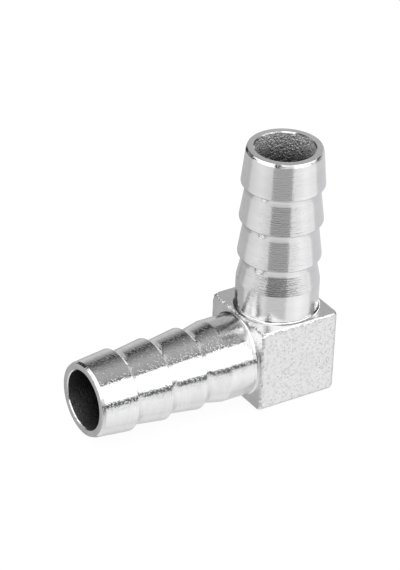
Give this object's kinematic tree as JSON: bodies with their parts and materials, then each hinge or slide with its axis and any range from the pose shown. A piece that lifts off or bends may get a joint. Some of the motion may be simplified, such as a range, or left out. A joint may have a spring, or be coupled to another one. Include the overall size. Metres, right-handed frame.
{
  "type": "hose barb elbow",
  "caption": "Right-angle stainless steel hose connector: a cast block between equal barbed hose tails, with a flow passage that turns the corner inside.",
  "frame": {"origin": "on the block's flat cast base, straight below the point where the two tail axes cross", "axes": "+Z along one tail, towards its end, -X along the other tail, towards its end, and Y across the block's width"},
  "size_m": [0.0408, 0.0142, 0.0408],
  "materials": {
    "steel": "turned and bright on the tails and the two faces around them, fine cast grain on the block and in the bores"
  },
  "bodies": {
    "root": {"elbow": "steel"}
  },
  "joints": []
}
